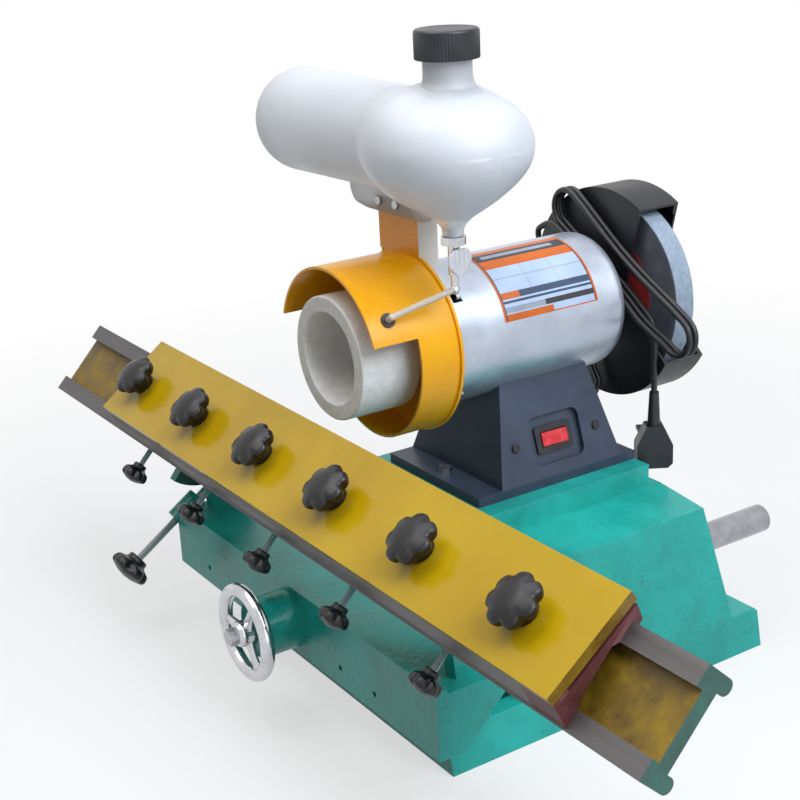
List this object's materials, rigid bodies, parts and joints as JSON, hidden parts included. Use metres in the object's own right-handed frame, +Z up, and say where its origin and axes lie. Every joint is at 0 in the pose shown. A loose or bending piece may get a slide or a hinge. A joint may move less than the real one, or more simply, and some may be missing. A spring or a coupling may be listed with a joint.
{
  "type": "planer knife grinder",
  "caption": "Benchtop planer knife grinder: cast base, double-ended motor with cup wheel and coolant tank, tilting bed with sliding knife carriage.",
  "frame": {"origin": "on the floor plane at the centre of the base casting's footprint", "axes": "+X along the bed towards the end with the open wheel guard, +Y from the bed towards the motor's rear wheel, +Z up"},
  "size_m": [1.064, 0.5826, 0.667],
  "materials": {
    "aluminium": "cast and brushed",
    "black_paint": "satin black",
    "black_plastic": "moulded",
    "bronze": "turned",
    "chrome": "bright plated",
    "clear_tube": "clear vinyl",
    "copper": "varnished copper wire",
    "core_iron": "laminated iron",
    "green_paint": "glossy teal enamel on cast iron",
    "grey_abrasive": "vitrified grey abrasive",
    "label_paper": "red paper blotter",
    "red_plastic": "moulded",
    "red_primer": "dull red-brown enamel",
    "rubber": "matte",
    "slate_paint": "dull slate paint",
    "steel": "machined",
    "tank_plastic": "translucent natural polyethylene",
    "white_abrasive": "vitrified white alumina",
    "yellow_paint": "satin yellow enamel"
  },
  "bodies": {
    "base": {"base_casting": "green_paint", "rod_bushes": "bronze", "feed_nut": "bronze", "pedestal": "slate_paint", "pedestal_bolts": "steel", "motor_housing": "aluminium", "front_end_cap": "aluminium", "rear_end_cap": "aluminium", "stator_core": "core_iron", "stator_windings": "copper", "bearings": "steel", "run_capacitor": "aluminium", "cup_guard": "yellow_paint", "hood_grommet": "rubber", "coolant_tank": "tank_plastic", "pan_head_screws": "steel", "drip_valve": "chrome", "drip_tube": "clear_tube", "wheel_guard": "black_paint", "wheel_guard_cover": "black_paint", "switch_bezel": "black_plastic", "cord_gland": "rubber", "cord_lead": "rubber", "cord_hank": "rubber", "cord_tail": "rubber", "plug": "black_plastic"},
    "spindle": {"spindle_shaft": "steel", "rotor": "core_iron", "cup_wheel": "white_abrasive", "grinding_wheel": "grey_abrasive", "wheel_labels": "label_paper", "wheel_flanges": "steel", "arbor_nuts": "steel"},
    "beam": {"front_beam": "green_paint", "guide_rods": "steel", "pivot_pins": "steel"},
    "feed_handwheel": {"feed_screw": "steel", "handwheel": "chrome", "handwheel_nut": "steel"},
    "tilting_bed": {"bed": "green_paint"},
    "knife_carriage": {"carriage": "red_primer", "clamp_studs": "steel"},
    "knife_clamp": {"clamp_plate": "yellow_paint"},
    "star_1": {"star_knob_1": "black_plastic"},
    "star_2": {"star_knob_2": "black_plastic"},
    "star_3": {"star_knob_3": "black_plastic"},
    "star_4": {"star_knob_4": "black_plastic"},
    "star_5": {"star_knob_5": "black_plastic"},
    "star_6": {"star_knob_6": "black_plastic"},
    "adjuster_1": {"adjust_screw_1": "black_plastic"},
    "adjuster_2": {"adjust_screw_2": "black_plastic"},
    "adjuster_3": {"adjust_screw_3": "black_plastic"},
    "adjuster_4": {"adjust_screw_4": "black_plastic"},
    "adjuster_5": {"adjust_screw_5": "black_plastic"},
    "tilt_lock": {"lock_screw": "black_plastic"},
    "filler_cap": {"tank_cap": "black_plastic"},
    "drip_handle": {"valve_handle": "chrome"},
    "rocker": {"switch_rocker": "red_plastic"}
  },
  "joints": [
    {"name": "spindle_turn", "type": "hinge", "parent": "base", "child": "spindle", "pos_m": [0, 0, 0.36], "axis": [0, 1, 0], "continuous": true},
    {"name": "infeed", "type": "slide", "parent": "base", "child": "beam", "axis": [0, 1, 0], "range_m": [-0.06, 0.006]},
    {"name": "feed_turn", "type": "hinge", "parent": "beam", "child": "feed_handwheel", "pos_m": [0, -0.3, 0.104], "axis": [0, 1, 0], "range_deg": [-5400.1, 540.1]},
    {"name": "bed_tilt", "type": "hinge", "parent": "beam", "child": "tilting_bed", "pos_m": [0, -0.2164, 0.2142], "axis": [1, 0, 0], "range_deg": [-10, 14]},
    {"name": "carriage_traverse", "type": "slide", "parent": "tilting_bed", "child": "knife_carriage", "axis": [1, 0, 0], "range_m": [-0.356, 0.243]},
    {"name": "knife_release", "type": "slide", "parent": "knife_carriage", "child": "knife_clamp", "axis": [0, -0.606, 0.7955], "range_m": [0, 0.003]},
    {"name": "star_turn_1", "type": "hinge", "parent": "knife_clamp", "child": "star_1", "pos_m": [-0.3, -0.25934, 0.26917], "axis": [0, -0.606, 0.7955], "range_deg": [0, 720]},
    {"name": "star_turn_2", "type": "hinge", "parent": "knife_clamp", "child": "star_2", "pos_m": [-0.163, -0.25934, 0.26917], "axis": [0, -0.606, 0.7955], "range_deg": [0, 720]},
    {"name": "star_turn_3", "type": "hinge", "parent": "knife_clamp", "child": "star_3", "pos_m": [-0.026, -0.25934, 0.26917], "axis": [0, -0.606, 0.7955], "range_deg": [0, 720]},
    {"name": "star_turn_4", "type": "hinge", "parent": "knife_clamp", "child": "star_4", "pos_m": [0.111, -0.25934, 0.26917], "axis": [0, -0.606, 0.7955], "range_deg": [0, 720]},
    {"name": "star_turn_5", "type": "hinge", "parent": "knife_clamp", "child": "star_5", "pos_m": [0.248, -0.25934, 0.26917], "axis": [0, -0.606, 0.7955], "range_deg": [0, 720]},
    {"name": "star_turn_6", "type": "hinge", "parent": "knife_clamp", "child": "star_6", "pos_m": [0.385, -0.25934, 0.26917], "axis": [0, -0.606, 0.7955], "range_deg": [0, 720]},
    {"name": "adjuster_turn_1", "type": "hinge", "parent": "tilting_bed", "child": "adjuster_1", "pos_m": [-0.2872, -0.26626, 0.19702], "axis": [0, 0.6858, 0.7278], "range_deg": [-360, 360]},
    {"name": "adjuster_turn_2", "type": "hinge", "parent": "tilting_bed", "child": "adjuster_2", "pos_m": [-0.1436, -0.26626, 0.19702], "axis": [0, 0.6858, 0.7278], "range_deg": [-360, 360]},
    {"name": "adjuster_turn_3", "type": "hinge", "parent": "tilting_bed", "child": "adjuster_3", "pos_m": [0, -0.26626, 0.19702], "axis": [0, 0.6858, 0.7278], "range_deg": [-360, 360]},
    {"name": "adjuster_turn_4", "type": "hinge", "parent": "tilting_bed", "child": "adjuster_4", "pos_m": [0.1436, -0.26626, 0.19702], "axis": [0, 0.6858, 0.7278], "range_deg": [-360, 360]},
    {"name": "adjuster_turn_5", "type": "hinge", "parent": "tilting_bed", "child": "adjuster_5", "pos_m": [0.2872, -0.26626, 0.19702], "axis": [0, 0.6858, 0.7278], "range_deg": [-360, 360]},
    {"name": "tilt_lock_turn", "type": "hinge", "parent": "beam", "child": "tilt_lock", "pos_m": [-0.263, -0.2631, 0.1113], "axis": [0, 0.8261, 0.5635], "range_deg": [-360, 0]},
    {"name": "cap_lift", "type": "slide", "parent": "base", "child": "filler_cap", "axis": [0, 0, 1], "range_m": [0, 0.05]},
    {"name": "drip_turn", "type": "hinge", "parent": "base", "child": "drip_handle", "pos_m": [0.106, -0.114, 0.462], "axis": [1, 0, 0], "range_deg": [0, 90]},
    {"name": "switch_rock", "type": "hinge", "parent": "base", "child": "rocker", "pos_m": [0.06291, 0.027, 0.24319], "axis": [0.3011, 0, -0.9536], "range_deg": [-16, 0]}
  ],
  "couplings": [
    {"joint": "feed_turn", "follows": "infeed", "rad_per_m": 1570.8}
  ]
}
